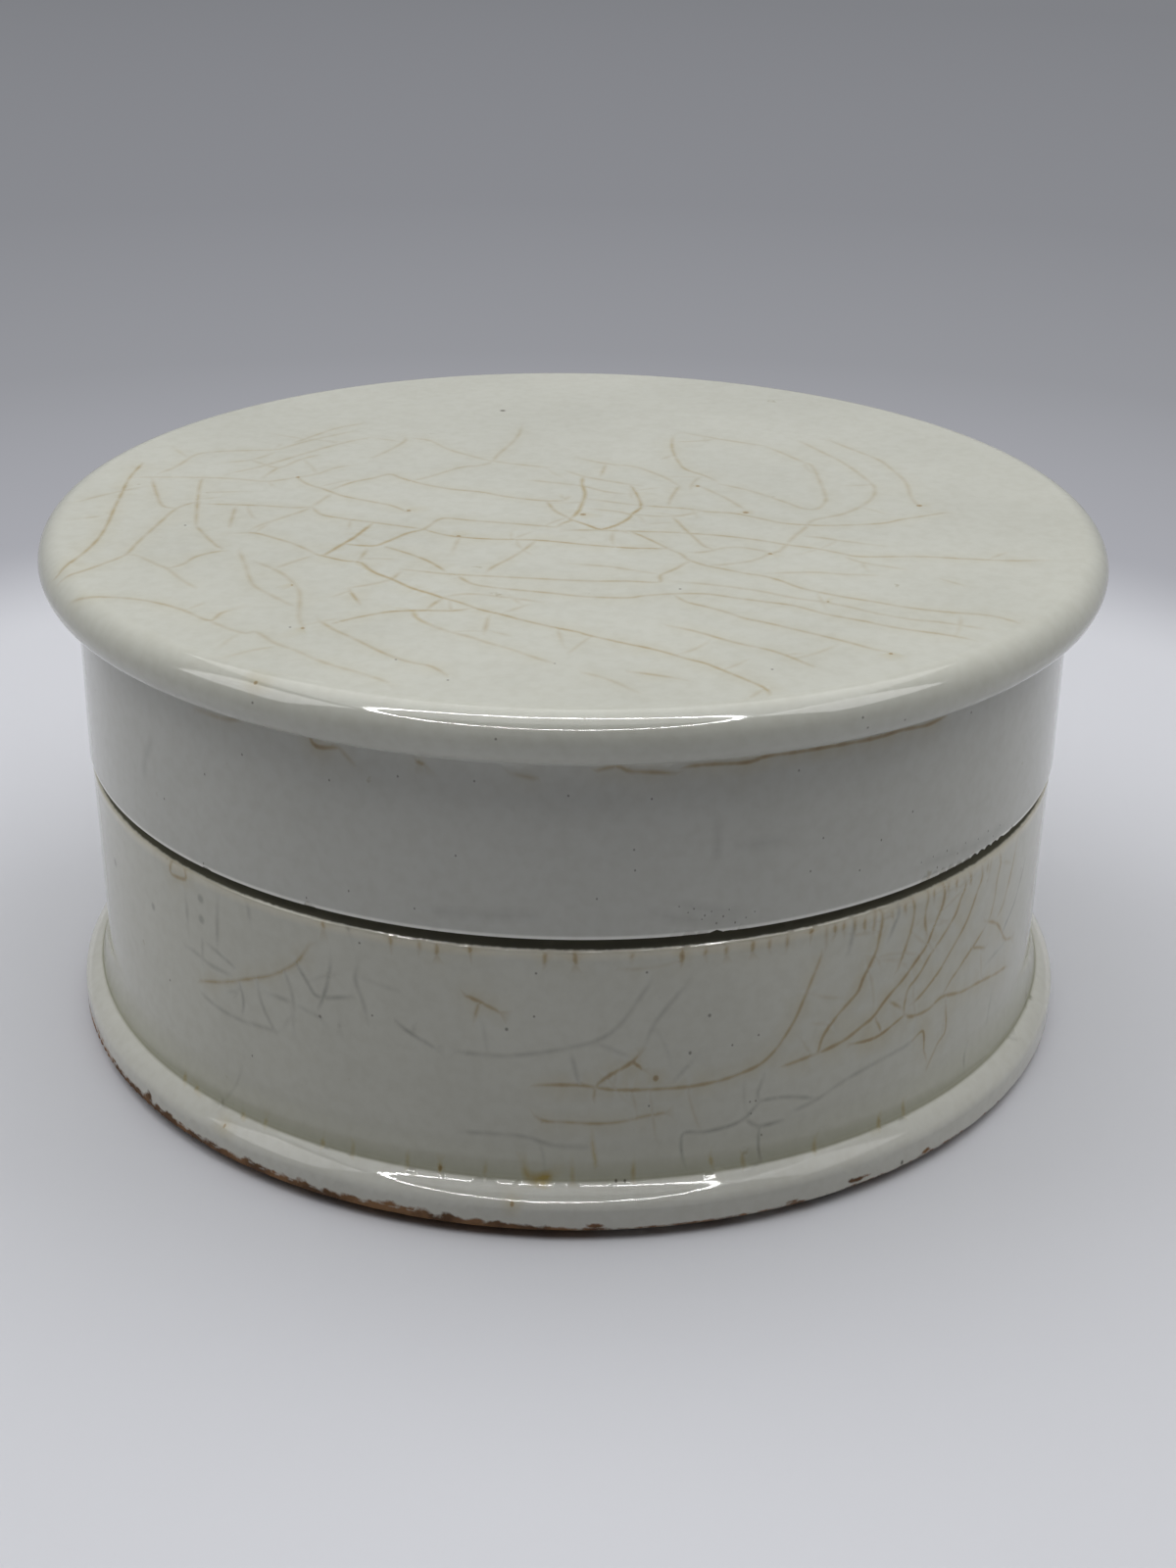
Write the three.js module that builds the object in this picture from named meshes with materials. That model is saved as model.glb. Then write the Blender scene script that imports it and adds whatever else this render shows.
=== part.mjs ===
// Glazed stoneware pot with a lift-off lid. Millimetres, +Z up, origin at the centre of the foot on the table.
// Both pieces are thrown and turned, so each is one profile of corners and fillets, revolved about Z.
import * as THREE from 'three';

// Overall sizes: the skirt of the lid sets how wide the rest is
const OVERALL_HEIGHT = 50.6;
const SEAM_HEIGHT = 28.6;
const SKIRT_RADIUS = 49.1;

// Lid: a flat top with a full-round bead at its edge, and a skirt that stands on the pot's shoulder
const SKIRT_WALL = 3;
const SKIRT_LIP_ROUND = 0.3;
const BEAD_REACH = 3.4;
const BEAD_THICKNESS = 5;
const BEAD_FILLET = 0.8;
const LID_TOP_WALL = 4.2;
const LID_CEILING_COVE = 3;

// Pot: a wall that narrows a little downwards and flares again just above the foot, a shoulder that falls
// away in a bevel outside the seat of the lid, and an inner rim that locates the lid
const LID_OVERHANG = 0.2;
const WALL_TAPER = 0.3;
const FLARE_HEIGHT = 9;
const FLARE_SPREAD = 0.3;
const FLARE_ROUND = 5;
const SEAT_WIDTH = 1.7;
const SEAT_EDGE_ROUND = 0.5;
const SHOULDER_DROP = 1.3;
const SHOULDER_EDGE_ROUND = 0.35;
const FLOOR_WALL = 3.8;
const FLOOR_COVE = 5;
const RIM_HEIGHT = 5;
const RIM_WALL = 2.2;
const RIM_ROOT_FILLET = 0.3;
const RIM_CLEARANCE = 0.4;

// Foot: a rounded flange round the bottom, creased against the wall, with its sharp lower edge bevelled clear
// of the table, and hollowed underneath so that only a ring touches the table
const FOOT_SPREAD = 2.75;
const FOOT_LIFT = 0.6;
const FOOT_BEVEL = 1.6;
const FOOT_THICKNESS = 2.9;
const FOOT_RISE_TO_WALL = 0.65;
const FOOT_ROUND = 3;
const FOOT_CREASE = 0.2;
const FOOT_EDGE_ROUND = 0.3;
const FOOT_RING_WIDTH = 4.4;
const FOOT_RECESS_DEPTH = 1.2;
const FOOT_RECESS_ROUND = 0.5;

// Facets
const TURN_SEGMENTS = 72;
const FACET_ANGLE = Math.PI / 7;
const SAME_POINT = 1e-4;

// A corner of a profile: its radius from the axis, its height, and the round or cove that softens it.
function corner(radius, height, round = 0) {
  return { point: new THREE.Vector2(radius, height), round };
}

// The arc that softens the corner between two neighbours, as points from one tangent point to the other.
// Two corners share the straight side between them, and a round is limited to its share.
function softened(before, { point, round }, after) {
  const inward = before.point.clone().sub(point);
  const outward = after.point.clone().sub(point);
  const halfAngle = Math.acos(inward.dot(outward) / (inward.length() * outward.length())) / 2;
  const room = Math.min(
    before.round > 0 ? inward.length() * round / (round + before.round) : inward.length(),
    after.round > 0 ? outward.length() * round / (round + after.round) : outward.length(),
  );
  const radius = Math.min(round, room * Math.tan(halfAngle));
  const towardsCentre = inward.clone().normalize().add(outward.clone().normalize()).normalize();
  const centre = point.clone().addScaledVector(towardsCentre, radius / Math.sin(halfAngle));
  const tangentLength = radius / Math.tan(halfAngle);
  const first = point.clone().addScaledVector(inward.normalize(), tangentLength).sub(centre);
  const last = point.clone().addScaledVector(outward.normalize(), tangentLength).sub(centre);
  const sweep = Math.atan2(first.cross(last), first.dot(last));
  const arc = new THREE.EllipseCurve(
    centre.x, centre.y, radius, radius, first.angle(), first.angle() + sweep, sweep < 0,
  );
  return arc.getPoints(Math.max(2, Math.round(Math.abs(sweep) / FACET_ANGLE)));
}

// Revolves corners listed from the axis, out along the underside, up the outside and back to the axis.
function turned(name, corners, material) {
  const profile = corners.flatMap((here, i) =>
    here.round > 0 ? softened(corners[i - 1], here, corners[i + 1]) : [here.point]);
  const distinct = profile.filter((point, i) =>
    i === 0 || point.distanceTo(profile[i - 1]) > SAME_POINT);
  const geometry = new THREE.LatheGeometry(distinct, TURN_SEGMENTS);
  geometry.rotateX(Math.PI / 2);
  const mesh = new THREE.Mesh(geometry, material);
  mesh.name = name;
  return mesh;
}

// A clear, slightly green-grey glaze over a pale body
const glaze = { roughness: 0.12, metalness: 0 };
const potGlaze = new THREE.MeshStandardMaterial({ color: 0xd4d4c8, ...glaze });
const lidGlaze = new THREE.MeshStandardMaterial({ color: 0xd8d9ce, ...glaze });

function makePot() {
  const shoulderRadius = SKIRT_RADIUS - LID_OVERHANG;
  const waistRadius = shoulderRadius - WALL_TAPER;
  const footRadius = waistRadius + FOOT_SPREAD;
  const footTop = FOOT_LIFT + FOOT_THICKNESS;
  const ringRadius = footRadius - FOOT_BEVEL;
  const recessRadius = ringRadius - FOOT_RING_WIDTH;
  const rimOuter = SKIRT_RADIUS - SKIRT_WALL - RIM_CLEARANCE;
  const rimInner = rimOuter - RIM_WALL;
  const seatRadius = rimOuter + SEAT_WIDTH;
  const rimTop = SEAM_HEIGHT + RIM_HEIGHT;
  const rimRound = RIM_WALL / 2;
  const insideFloor = FOOT_RECESS_DEPTH + FLOOR_WALL;
  return turned('pot', [
    corner(0, FOOT_RECESS_DEPTH),
    corner(recessRadius, FOOT_RECESS_DEPTH, FOOT_RECESS_ROUND),
    corner(recessRadius, 0, FOOT_RECESS_ROUND),
    corner(ringRadius, 0, FOOT_EDGE_ROUND),
    corner(footRadius, FOOT_LIFT, FOOT_EDGE_ROUND),
    corner(footRadius, footTop, FOOT_ROUND),
    corner(waistRadius + FLARE_SPREAD, footTop + FOOT_RISE_TO_WALL, FOOT_CREASE),
    corner(waistRadius, FLARE_HEIGHT, FLARE_ROUND),
    corner(shoulderRadius, SEAM_HEIGHT - SHOULDER_DROP, SHOULDER_EDGE_ROUND),
    corner(seatRadius, SEAM_HEIGHT, SEAT_EDGE_ROUND),
    corner(rimOuter, SEAM_HEIGHT, RIM_ROOT_FILLET),
    corner(rimOuter, rimTop, rimRound),
    corner(rimInner, rimTop, rimRound),
    corner(rimInner, insideFloor, FLOOR_COVE),
    corner(0, insideFloor),
  ], potGlaze);
}

function makeLid() {
  const skirtInner = SKIRT_RADIUS - SKIRT_WALL;
  const beadRadius = SKIRT_RADIUS + BEAD_REACH;
  const beadUnderside = OVERALL_HEIGHT - BEAD_THICKNESS;
  const beadRound = BEAD_THICKNESS / 2;
  const ceiling = OVERALL_HEIGHT - LID_TOP_WALL;
  return turned('lid', [
    corner(0, ceiling),
    corner(skirtInner, ceiling, LID_CEILING_COVE),
    corner(skirtInner, SEAM_HEIGHT, SKIRT_LIP_ROUND),
    corner(SKIRT_RADIUS, SEAM_HEIGHT, SKIRT_LIP_ROUND),
    corner(SKIRT_RADIUS, beadUnderside, BEAD_FILLET),
    corner(beadRadius, beadUnderside, beadRound),
    corner(beadRadius, OVERALL_HEIGHT, beadRound),
    corner(0, OVERALL_HEIGHT),
  ], lidGlaze);
}

const liddedPot = new THREE.Group();
liddedPot.add(makePot(), makeLid());

export default liddedPot;
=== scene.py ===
import math
import random
from collections import namedtuple

import bpy
import numpy as np
from mathutils import Matrix, Vector, geometry, kdtree


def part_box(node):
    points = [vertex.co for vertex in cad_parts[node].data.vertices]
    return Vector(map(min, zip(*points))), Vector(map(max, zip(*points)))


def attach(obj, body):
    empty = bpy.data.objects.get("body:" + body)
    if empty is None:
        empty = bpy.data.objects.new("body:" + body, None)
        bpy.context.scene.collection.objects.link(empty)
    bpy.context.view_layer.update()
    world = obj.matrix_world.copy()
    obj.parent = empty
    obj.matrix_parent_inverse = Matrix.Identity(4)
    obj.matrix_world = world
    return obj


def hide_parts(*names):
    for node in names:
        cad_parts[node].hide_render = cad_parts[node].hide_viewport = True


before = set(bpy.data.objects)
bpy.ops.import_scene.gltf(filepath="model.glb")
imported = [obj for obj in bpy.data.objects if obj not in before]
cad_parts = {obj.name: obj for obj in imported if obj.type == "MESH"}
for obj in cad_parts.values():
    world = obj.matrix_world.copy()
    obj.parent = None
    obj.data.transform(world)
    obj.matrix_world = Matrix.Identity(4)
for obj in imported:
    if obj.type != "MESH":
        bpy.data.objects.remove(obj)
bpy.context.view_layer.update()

MM = 0.001
LID_LOW, LID_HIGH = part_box("lid")
POT_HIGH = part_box("pot")[1]

# Sizes that both pieces share, taken from the solids
TOP_HEIGHT = LID_HIGH.z
SEAM_HEIGHT = LID_LOW.z
BEAD_RADIUS = LID_HIGH.x
FOOT_RADIUS = POT_HIGH.x
RIM_TOP = POT_HIGH.z

# Lid sizes
BEAD_ROUND = 2.5 * MM
BEAD_FILLET = 0.8 * MM
SKIRT_RADIUS = BEAD_RADIUS - 3.4 * MM
SKIRT_WALL = 3 * MM
SKIRT_LIP_ROUND = 0.15 * MM
LID_TOP_WALL = 4.2 * MM
LID_CEILING_COVE = 3 * MM

# Pot sizes
SHOULDER_RADIUS = SKIRT_RADIUS - 0.2 * MM
SHOULDER_HEIGHT = SEAM_HEIGHT - 1.3 * MM
SHOULDER_EDGE_ROUND = 0.35 * MM
WAIST_RADIUS = SHOULDER_RADIUS - 0.3 * MM
FLARE_HEIGHT = 6.04 * MM
FLARE_ROUND = 6.6 * MM
FOOT_LIFT = 0.4 * MM
FOOT_EDGE_ROUND = 0.3 * MM
CREASE_RADIUS = WAIST_RADIUS + 0.97 * MM
CREASE_HEIGHT = 4.365 * MM
CREASE_ROUND = 0.2 * MM
FOOT_TOP_RADIUS = FOOT_RADIUS - 0.9 * MM
FOOT_TOP_HEIGHT = CREASE_HEIGHT - 0.43 * MM
FOOT_TOP_ROUND = 4.1 * MM
FOOT_SIDE_HEIGHT = FOOT_TOP_HEIGHT - 1.11 * MM
FOOT_SIDE_ROUND = 1.3 * MM
RING_RADIUS = FOOT_RADIUS - 1.6 * MM
RECESS_RADIUS = RING_RADIUS - 4.4 * MM
RECESS_DEPTH = 1.2 * MM
RECESS_ROUND = 0.5 * MM
INSIDE_FLOOR = RECESS_DEPTH + 3.8 * MM
INSIDE_COVE = 5 * MM
RIM_OUTER = SKIRT_RADIUS - SKIRT_WALL - 0.4 * MM
RIM_INNER = RIM_OUTER - 2.2 * MM
RIM_ROUND = 1.1 * MM
RIM_ROOT_FILLET = 0.3 * MM
SEAT_RADIUS = RIM_OUTER + 1.7 * MM
SEAT_EDGE_ROUND = 0.5 * MM

# Fineness of the turned meshes: rings inside the thinned share of the widest have fewer points
TURN_SEGMENTS = 256
ARC_STEP = math.radians(9)
STRAIGHT_STEP = 2 * MM
SAME_POINT = 2e-6
THINNED_SHARE = 0.85

# The camera that took the photograph, whose pixels the routes and spots below are read in
PHOTO_WIDTH = 1200
PHOTO_HEIGHT = 1600
LENS = 54
SENSOR = 36
CAMERA_PLACE = Vector((0, -223.76 * MM, 125.22 * MM))
CAMERA_PITCH = 0.4387
CAMERA_YAW = 0.0077
CAMERA_ROLL = 0.0145
CLIP_START = 0.01
CAMERA_TURN = (
    Matrix.Rotation(-CAMERA_YAW, 3, "Z")
    @ Matrix.Rotation(math.pi / 2 - CAMERA_PITCH, 3, "X")
    @ Matrix.Rotation(CAMERA_ROLL, 3, "Z")
)
PIXELS_PER_LENS = PHOTO_HEIGHT * LENS / SENSOR

# How each kind of craze line looks: half width, tone of its stain, and depth of the stain
CRAZE_KINDS = {
    "deep": (0.27 * MM, "tan_stain", 0.66),
    "strong": (0.32 * MM, "tan_stain", 0.6),
    "brown": (0.32 * MM, "tan_stain", 0.44),
    "tan": (0.33 * MM, "tan_stain", 0.32),
    "faint": (0.36 * MM, "tan_stain", 0.23),
    "pale": (0.4 * MM, "tan_stain", 0.16),
    "amber": (0.4 * MM, "ochre_stain", 0.3),
    "dark_grey": (0.38 * MM, "grey_stain", 0.38),
    "grey": (0.42 * MM, "grey_stain", 0.25),
    "smudge": (0.9 * MM, "grey_stain", 0.14),
    "olive": (0.5 * MM, "ochre_stain", 0.62),
    "ochre": (0.75 * MM, "ochre_stain", 0.9),
    "iron_line": (0.5 * MM, "iron_stain", 0.8),
    "iron_blotch": (0.8 * MM, "iron_stain", 0.78),
}

# Craze routes and smudges on the lid, by kind, in pixels of the photograph
LID_CRAZES = {
    "deep": [
        "702,782 720,780 746,779 766,777 780,772 800,769 820,766 850,761 880,756 900,751 920,745"
        " 940,741 950,738 964,731",
    ],
    "strong": [
        "300,749 320,759 346,763",
    ],
    "brown": [
        "424,776 434,781", "608,786 630,782 645,787 690,789",
    ],
    "tan": [
        "146,472 132,488 123,506 117,518 110,534 100,550 83,566 62,584 56,591",
        "380,534 362,548 350,555 340,561 330,567",
        "432,540 450,545 470,548 500,550 544,551 570,553 600,556 640,559 682,560",
        "320,565 350,572 368,574 380,583 400,591 420,600 440,606 452,610 470,615 490,622 512,627"
        " 530,632 560,639 590,645 600,648 640,657 660,661 680,666 700,672 720,677 740,685 760,693"
        " 780,702 786,709",
        "340,636 360,631 380,627 400,624 420,623 440,623 464,623 480,621",
        "645,543 655,547 668,553 682,560",
        "582,530 600,536 612,540 626,537 640,530 646,524 654,517 650,505 644,496",
        "356,601 360,607 367,616", "394,558 420,566 440,574 454,583",
    ],
    "faint": [
        "200,724 240,734 280,744 300,749", "346,763 356,774 362,781", "155,488 160,504 166,516 180,519",
        "284,477 270,486", "206,514 240,515 270,516 300,518 318,517", "498,630 494,646",
        "240,518 237,528 234,538", "640,685 670,689 696,693",
        "200,512 180,519 160,536 140,554 128,566 106,575 80,584 60,596",
        "72,615 92,610 125,610 155,614 185,622 213,633 225,626 237,622",
        "303,487 314,494 330,499 350,506 380,512 400,516 417,523", "200,536 208,545 220,556 227,560",
        "682,560 696,566 702,571 720,577 740,581 760,585 780,588 798,593 814,599 830,603 860,609"
        " 892,614 920,619 960,624 1000,627 1020,630 1040,636",
        "558,511 566,521 582,530 574,534 568,538",
        "702,573 688,581 674,587 672,594 640,593 610,593 580,592 540,590 500,588 460,586 430,583"
        " 410,581",
        "693,496 686,506 682,515", "170,580 186,576 200,568 220,563 232,562",
        "206,488 203,500 201,518 200,536",
        "340,499 360,492 380,488 398,484 410,488 432,494 460,499 490,502 512,506 534,509 558,511"
        " 580,511",
        "318,517 328,525 350,529 380,533 410,537 432,540",
        "350,555 380,557 394,553 416,544 432,540 448,530 460,529 480,531 520,534 568,538",
        "580,541 610,541 640,542 680,543 700,544 740,547 780,552 803,556 820,558 840,561 860,565"
        " 880,568 940,568 980,570 1026,572 1060,572",
        "582,530 590,522 593,516 597,504 594,494 595,486",
        "655,516 700,519 720,522 750,524 780,530 800,534 830,536 860,536 900,534 920,530 940,527"
        " 965,523",
        "686,527 700,541 708,548 718,557 726,560", "618,474 613,486",
        "686,446 686,458 692,471 700,479 718,485 731,491",
        "465,586 480,595 500,599 528,602 560,605 600,609 640,610 656,608 686,606 720,606 750,610"
        " 780,614 810,618 840,626 860,630 882,634 906,639 930,643 960,647 990,652",
        "688,607 700,614 720,619 742,625 760,631 780,635 810,642 840,649 868,656 890,662 910,666",
        "374,561 366,573", "400,591 408,584", "452,610 440,618 435,623",
        "546,552 536,560 520,570 504,578 496,584", "240,544 260,544 280,549 300,555 320,564",
        "326,633 340,642 360,651 380,661 400,670 420,676 440,680 456,689",
        "680,638 700,642 720,647 740,653 760,658 780,662 800,668 820,676 832,681", "964,592 982,597",
        "520,789 550,795",
    ],
    "pale": [
        "140,487 180,487 230,488 268,491 285,490 303,487", "80,512 110,504 145,497", "84,529 108,526",
        "235,483 270,475 310,463 350,452 380,446", "300,452 340,438 370,432",
        "160,484 180,476 200,464 220,461 240,460 280,459 290,457 310,451 332,446 360,440",
        "230,472 258,469 280,462", "258,470 284,477 306,469 326,464",
        "318,517 310,521 286,529 268,535 255,541", "600,509 630,513 655,516",
        "600,519 630,522 646,525 686,527 716,522", "576,480 600,487 640,494 655,496",
        "540,490 570,493 594,496 620,502 640,504",
        "420,447 440,450 456,458 480,465 500,470 530,474 560,477", "380,467 396,460 412,451 414,446",
        "780,455 800,463 818,471 828,475 836,490 842,505 842,512 834,519 820,519 800,512 766,501"
        " 735,494",
        "700,442 740,449 780,455", "702,564 720,563 740,559 760,559 788,564",
        "580,575 620,578 640,581 672,586", "400,591 380,596 354,600", "452,609 480,606 520,610 550,614",
        "512,626 542,616", "244,562 250,576 254,588 260,598 280,609 298,618", "281,580 300,573 320,567",
        "232,670 260,663 280,660", "594,686 620,693 650,706", "820,547 840,549 860,552 900,557",
        "862,568 880,574 924,581", "780,585 830,584 860,586 896,587",
        "420,624 426,631 440,638 460,645 480,650 498,656 520,662 540,669 565,677",
        "213,633 232,641 250,646 262,645 280,656 300,663 320,672 340,679 365,686 390,694 398,698",
        "128,566 140,567 160,576 170,580 186,592 200,600", "306,487 326,483 340,478 356,475",
        "318,517 326,512 338,504", "592,468 618,473 646,476 660,480 680,488 693,496",
        "420,491 440,486 470,477 490,475 502,471 508,464 520,454 529,444 532,436",
        "714,496 740,508 760,520",
        "816,450 832,458 860,472 880,486 892,497 890,508 876,518 858,525 830,531 820,540 810,548"
        " 802,556 796,562 786,565 768,572 740,576 722,577",
        "848,450 868,458 896,469 910,479 924,492 930,508 938,517",
        "696,594 720,596 754,600 780,604 810,610 844,615 870,620 890,625 930,632 960,635 1006,642",
        "469,548 461,564", "260,573 280,581 292,588 300,596 306,606 305,630 310,641",
    ],
    "amber": [
        "350,555 380,557 394,553 416,544 432,540", "380,534 362,548 350,555 340,561 330,567",
        "582,530 590,522 593,516 597,504 594,494 595,486",
        "582,530 600,536 612,540 626,537 640,530 646,524 654,517", "400,620 420,623 426,631 440,638",
        "360,572 380,583 400,591 420,600 440,606 452,610",
    ],
    "smudge": [
        "731,836 733,858 730,880", "755,862 778,860 800,857", "664,931 700,938 756,940",
        "940,884 965,873 990,864 1010,852 1025,842", "690,922 720,928 760,930",
        "440,930 490,934 555,935", "156,752 150,770 146,795",
    ],
}

# Craze routes on the pot, by kind
POT_CRAZES = {
    "deep": [
        "645,1083 656,1091", "923,1035 900,1054 886,1061 868,1065", "930,1062 941,1052 942,1072",
        "480,966 480,973",
    ],
    "strong": [
        "474,1015 487,1021 511,1033", "652,1076 645,1083 638,1088 622,1097 607,1108",
        "176,879 174,885 176,892 189,897 189,888",
        "900,931 900,942 897,957 894,970 887,985 880,999 874,1013 856,1034 840,1056 834,1074",
        "962,902 964,912 961,925 956,937 950,952 945,965 937,977 930,987 921,999 904,1019 891,1037"
        " 880,1046 860,1062 835,1074",
        "446,962 446,975", "741,965 741,975", "768,960 768,972", "828,948 828,953", "587,971 587,985",
        "696,968 696,983",
    ],
    "brown": [
        "545,1107 590,1107 607,1109 630,1112 670,1111 705,1108 735,1102 755,1095 775,1086 790,1072"
        " 800,1058 811,1040 820,1020 828,1000 836,980 838,974",
        "923,1035 930,1037 946,1030 961,1017 980,1012 1000,1001 1014,994 1026,986",
        "1004,940 1016,942 1021,950 1025,958 1031,957", "489,1023 484,1038", "908,1022 920,1029",
        "892,1038 899,1052", "835,1074 812,1083 800,1087", "946,909 947,917 944,932 944,945 946,955",
        "984,896 985,904 980,917 975,932 967,947 957,962 947,977 940,990 934,999 926,1010 922,1028"
        " 923,1034",
        "1002,885 1002,895 997,910 992,925 985,942 977,957 967,975 957,992 940,1014 930,1024",
        "931,917 933,925 932,937 929,950 925,962 920,977 915,990",
        "1005,945 996,960 985,977 975,992 970,999 962,1014", "990,967 1005,967", "330,940 330,948",
        "399,955 399,966", "556,972 556,985", "852,943 852,953", "861,941 861,950", "882,937 882,950",
        "910,928 911,938", "923,922 924,932", "953,908 953,917", "968,901 968,912", "976,897 976,908",
        "990,891 991,902", "1008,880 1007,890",
    ],
    "tan": [
        "204,1001 230,1002 260,998 280,994 300,984 310,973 316,964", "607,1109 606,1122",
        "964,1018 964,1050 956,1065 945,1092",
        "545,1137 555,1143 580,1145 610,1146 635,1144 660,1138 680,1135",
        "1036,867 1032,887 1027,907 1022,925 1016,937",
        "1020,870 1021,880 1017,900 1015,915 1010,935 1006,941", "891,926 892,942 891,952",
        "428,960 428,970", "645,972 645,979", "720,967 720,976", "785,958 785,970", "803,953 803,967",
        "843,945 843,965", "872,937 872,952",
    ],
    "faint": [
        "1012,876 1010,885 1008,897",
    ],
    "dark_grey": [
        "245,1002 249,1020 248,1035", "302,982 314,1002 326,1017 360,1017", "338,980 333,1008 325,1030",
        "215,965 233,981 240,987", "403,1041 418,1053 437,1065 445,1069", "231,1121 229,1132",
        "697,1186 695,1170 698,1156 720,1155 746,1148 760,1140 766,1134 775,1124",
        "775,1123 800,1119 830,1120", "760,1142 775,1149 799,1143", "775,1149 773,1172 774,1185",
        "1045,880 1040,900 1034,922 1026,942 1022,951", "916,922 917,932 912,945 906,960",
    ],
    "grey": [
        "591,1107 586,1088 583,1075", "610,1065 640,1077", "262,999 268,1025 280,1050 284,1053",
        "290,990 298,1012 301,1040", "205,1012 222,1027 245,1040 262,1046 283,1052",
        "275,1014 297,1022", "305,1027 325,1037 330,1042", "190,965 200,972 215,984 236,995",
        "207,957 207,983", "222,920 222,967", "190,912 192,943", "253,923 255,940",
        "365,983 363,1000 370,1020 376,1045", "298,1033 300,1050", "347,1043 347,1050",
        "1010,1018 1007,1042", "1026,1056 1029,1063 1037,1062", "1044,1008 1041,1030",
        "985,1070 980,1092", "423,1046 421,1055",
        "466,1073 510,1077 550,1074 590,1067 610,1061 628,1050 642,1034 654,1016 665,1000",
        "808,1134 832,1122 860,1103 890,1086 920,1069 930,1062", "775,1124 773,1115 780,1096",
        "690,1100 708,1081", "700,1005 674,1036 666,1048 658,1066",
        "470,1155 510,1157 537,1160 565,1169 600,1171", "1024,962 1007,982",
        "870,937 871,945 869,958 865,975", "356,945 356,951",
    ],
}

# Stains at the pot's foot: olive ticks and an ochre patch in its crease, and iron-brown body worn bare
POT_WEAR = {
    "olive": [
        "193,1096 192,1107", "205,1107 204,1116", "252,1134 251,1145", "275,1140 273,1151",
        "332,1161 331,1173", "362,1165 361,1183", "417,1175 417,1192", "450,1185 450,1198",
        "496,1186 496,1198", "584,1188 584,1207", "604,1162 608,1190", "646,1185 646,1210",
        "724,1178 725,1190", "756,1176 757,1192", "830,1160 829,1179", "895,1138 894,1154",
        "920,1122 919,1141",
    ],
    "ochre": [
        "535,1186 537,1196 543,1202", "538,1198 548,1201 558,1200 566,1197",
        "541,1203 551,1206 560,1204", "550,1208 558,1210",
    ],
    "iron_line": [
        "97,1030 100,1046 106,1062 113,1076 121,1088",
        "119,1086 130,1099 142,1112 152,1121 163,1131 175,1140 186,1147 197,1154",
        "195,1153 209,1162 221,1169 237,1178 255,1186 270,1192 285,1198 300,1204 318,1210 331,1214"
        " 348,1219",
        "340,1217 358,1222 384,1227 405,1230 434,1238 460,1242 484,1246 505,1248 530,1250",
        "596,1251 620,1251", "798,1228 815,1224", "864,1206 880,1201 900,1192", "935,1180 950,1171",
    ],
    "iron_blotch": [
        "150,1114 160,1122", "168,1132 178,1140", "215,1165 226,1170", "238,1176 249,1181 264,1187",
        "380,1226 396,1228 408,1230", "416,1234 434,1237 450,1240 470,1243",
    ],
}

# Pinholes, specks and stained spots: the tone and depth of each kind, then x, y and radius in pixels
SPOT_KINDS = {
    "brown": ("tan_stain", 0.7),
    "dark": ("grey_stain", 0.9),
    "soft": ("grey_stain", 0.4),
    "pinhole": ("grey_stain", 0.75),
}
LID_SPOTS = {
    "dark": [
        "513,419,4", "404,673,2", "296,640,2", "694,601,2", "788,683,2", "457,694,2", "189,536,2",
        "566,677,1.5", "779,947,4", "800,943,4",
    ],
    "brown": [
        "595,525,4", "938,516,4", "309,641,3", "298,597,2", "845,614,2", "909,667,3", "261,697,3",
        "304,487,3", "417,521,3", "712,496,3", "761,523,4", "786,565,3", "468,547,3",
    ],
    "pinhole": [
        "484,797,2", "406,792,2", "580,812,2", "247,770,2", "209,790,2", "168,815,2", "336,796,2",
        "208,881,2", "313,916,2", "356,909,2", "465,873,2", "423,927,2", "665,815,2", "647,867,2",
        "648,888,2", "609,917,2", "840,855,2", "899,857,2", "827,889,2", "877,888,2", "931,828,2",
        "1032,843,2", "956,885,2", "977,871,2", "693,925,1.5", "702,931,1.5", "708,927,2", "716,938,1.5",
        "726,930,1.5", "738,935,2", "744,928,1.5", "761,936,1.5", "770,930,1.5", "940,880,1.5",
        "952,874,1.5", "966,868,2", "985,860,1.5", "998,856,1.5", "1008,848,2", "1020,842,1.5",
        "1013,853,1.5", "750,941,2", "731,942,2", "719,934,2", "815,786,2", "991,727,2", "506,754,2",
        "880,732,2", "885,742,2", "923,734,2", "258,717,2",
    ],
}
POT_SPOTS = {
    "dark": ["920,1186,4", "628,1205,3", "637,1206,3"],
    "soft": ["157,925,6", "206,938,7", "118,880,7", "205,917,7"],
    "brown": ["669,1100,5", "523,1228,4", "232,1150,3", "451,1191,4"],
    "pinhole": [
        "174,1000,2", "258,1077,2", "380,1036,2", "367,962,2", "327,1037,3", "517,1050,3", "545,1037,2",
        "547,993,2", "660,992,2", "662,1128,2", "765,1124,2", "771,1123,2", "766,1136,2", "777,1158,2",
        "747,1066,2", "704,1074,3", "724,1036,3", "774,1056,2",
    ],
}

# Fineness of the crazing, and how it wavers, fades at its ends and stains the glaze beside it
CRAZE_STEP = 0.45 * MM
END_TAPER = 1.5 * MM
END_SHARE = 0.3
END_DEPTH = 0.35
WAVER = 0.35
WAVER_LENGTH = 1.3 * MM
QUICKER_WAVE = 2.7
KNOTS = 0.12
HALO_REACH = 1.8 * MM
SPOT_SIDES = 9
SPOT_CORE = 0.4
TONES = ("tan_stain", "grey_stain", "ochre_stain", "iron_stain")

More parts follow.
